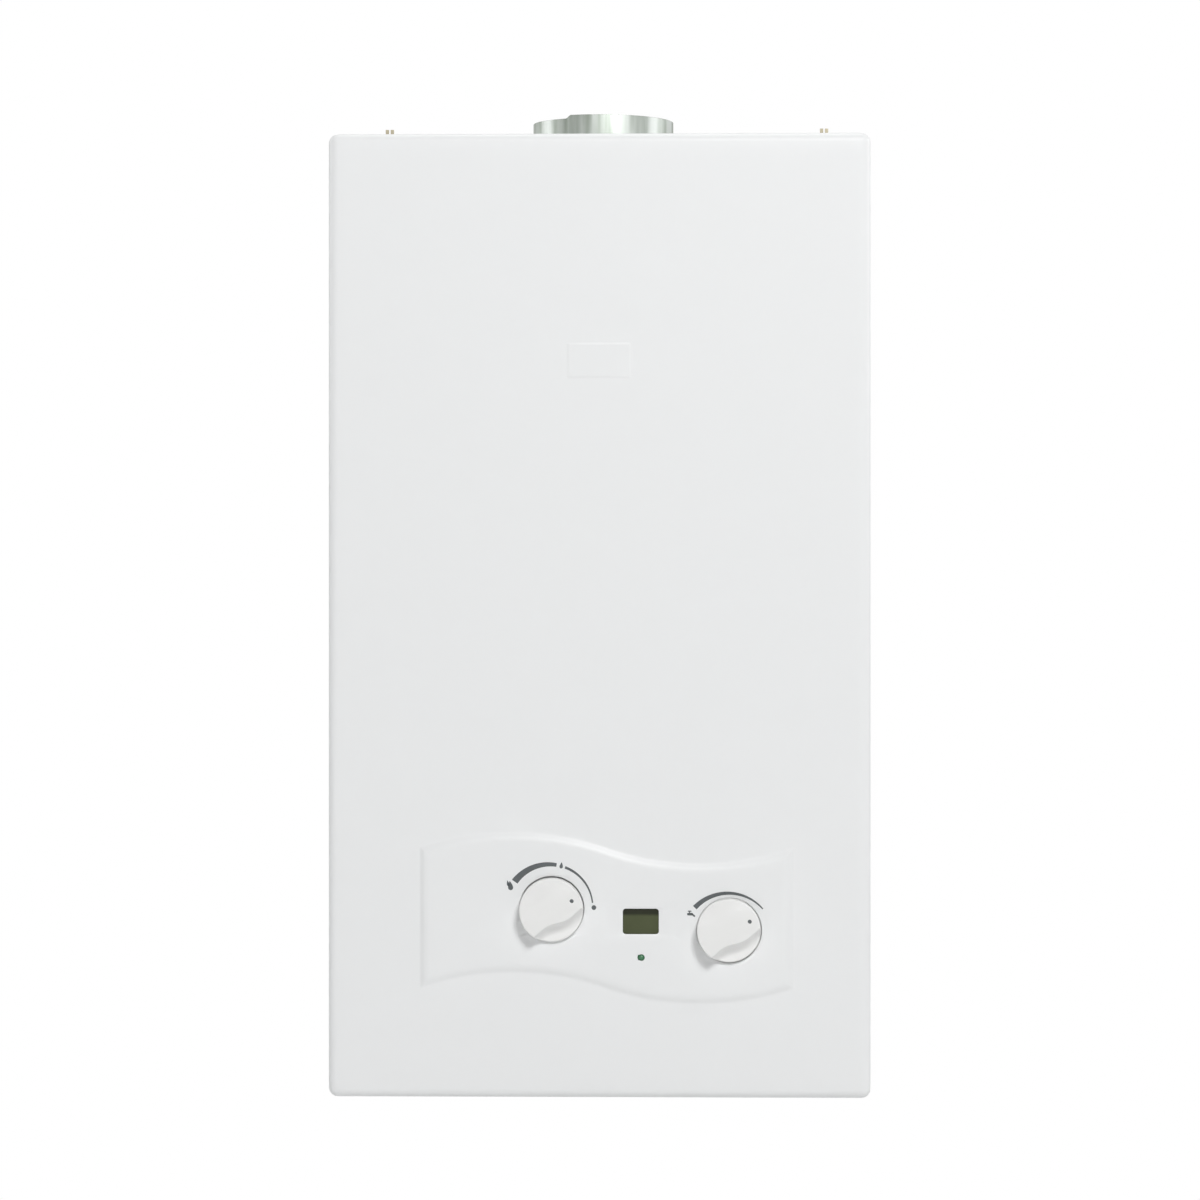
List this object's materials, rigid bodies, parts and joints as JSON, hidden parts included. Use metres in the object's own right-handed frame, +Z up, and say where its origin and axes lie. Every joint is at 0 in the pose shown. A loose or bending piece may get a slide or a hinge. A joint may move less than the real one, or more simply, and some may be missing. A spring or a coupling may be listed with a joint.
{
  "type": "wall-hung gas water heater",
  "caption": "Tall white wall-hung instantaneous gas water heater with a flue collar on top, a wavy raised control panel, turning knobs, a small display and a removable front cover.",
  "frame": {"origin": "on the wall, midway between the two hanging holes", "axes": "+Z up; +Y into the wall, so the front faces -Y; +X to the viewer's right"},
  "size_m": [0.46, 0.269, 0.861],
  "materials": {
    "white_enamel": "gloss",
    "galvanised": "satin",
    "yellow_zinc": "satin",
    "rubber": "matte",
    "copper": "satin",
    "brass": "satin",
    "die_cast": "cast",
    "steel": "satin",
    "white_plastic": "satin",
    "black_plastic": "matte",
    "grey_plastic": "matte",
    "display_glass": "gloss",
    "green_lamp": "gloss",
    "ceramic": "glazed",
    "wire_cover": "satin",
    "cell_jacket": "satin"
  },
  "bodies": {
    "heater": {"cover_screws": "steel", "back_frame": "galvanised", "hanger_ears": "yellow_zinc", "wall_spacers": "rubber", "flue_collar": "galvanised", "draught_hood": "galvanised", "hood_baffle": "galvanised", "spill_thermostat": "steel", "chamber_shell": "copper", "fin_block": "copper", "return_bends": "copper", "chamber_coil": "copper", "exchanger_bracket": "galvanised", "hot_outlet_pipe": "copper", "hot_outlet_union": "brass", "cold_inlet_pipe": "copper", "cold_inlet_union": "brass", "gas_inlet_pipe": "copper", "gas_inlet_union": "brass", "burner_frame": "galvanised", "burner_bars": "steel", "gas_manifold": "galvanised", "injectors": "brass", "manifold_brackets": "galvanised", "gas_feed_pipe": "die_cast", "electrode_bracket": "galvanised", "electrode_insulators": "ceramic", "electrode_rods": "steel", "gas_valve_body": "die_cast", "gas_valve_spring": "steel", "solenoid_coil": "black_plastic", "water_valve_body": "brass", "water_valve_cover": "brass", "diaphragm": "rubber", "water_valve_screws": "steel", "drain_plug": "brass", "microswitch": "black_plastic", "valve_bracket": "galvanised", "fascia_bracket": "galvanised", "display_housing": "grey_plastic", "display_glass": "display_glass", "indicator_lamp": "green_lamp", "battery_box": "black_plastic", "battery_cells": "cell_jacket", "battery_bracket": "galvanised", "ignition_unit": "grey_plastic", "overheat_thermostat": "steel", "ignition_leads": "wire_cover", "control_leads": "wire_cover", "sensor_leads": "wire_cover"},
    "cover": {"front_cover": "white_enamel"},
    "gas_control": {"gas_knob": "white_plastic", "gas_tap_spindle": "brass"},
    "water_control": {"water_knob": "white_plastic", "water_selector_spindle": "brass"},
    "push_rod": {"diaphragm_rod": "steel", "gas_valve_disc": "rubber"},
    "flow_lever": {"switch_lever": "steel"},
    "safety_plunger": {"solenoid_plunger": "steel"},
    "battery_door": {"battery_lid": "black_plastic"}
  },
  "joints": [
    {"name": "cover_slide", "type": "slide", "parent": "heater", "child": "cover", "axis": [0, -1, 0], "range_m": [0, 0.28]},
    {"name": "gas_knob_turn", "type": "hinge", "parent": "heater", "child": "gas_control", "pos_m": [-0.04, -0.253, -0.672], "axis": [0, -1, 0], "range_deg": [-24, 128]},
    {"name": "water_knob_turn", "type": "hinge", "parent": "heater", "child": "water_control", "pos_m": [0.11, -0.253, -0.689], "axis": [0, -1, 0], "range_deg": [-4, 120]},
    {"name": "push_rod_slide", "type": "slide", "parent": "heater", "child": "push_rod", "axis": [-1, 0, 0], "range_m": [0, 0.004], "stiffness_N_per_m": 500, "springref_m": -0.004, "deforming": ["gas_valve_spring", "diaphragm"]},
    {"name": "flow_lever_turn", "type": "hinge", "parent": "heater", "child": "flow_lever", "pos_m": [0.0261, -0.177, -0.681], "axis": [0, 1, 0], "range_deg": [0, 32]},
    {"name": "plunger_slide", "type": "slide", "parent": "heater", "child": "safety_plunger", "axis": [-1, 0, 0], "range_m": [0, 0.003], "stiffness_N_per_m": 300, "springref_m": -0.003},
    {"name": "battery_lid_hinge", "type": "hinge", "parent": "heater", "child": "battery_door", "pos_m": [-0.106, -0.1705, -0.827], "axis": [1, 0, 0], "range_deg": [0, 95]}
  ],
  "couplings": [
    {"joint": "flow_lever_turn", "follows": "push_rod_slide", "rad_per_m": 137.44}
  ]
}
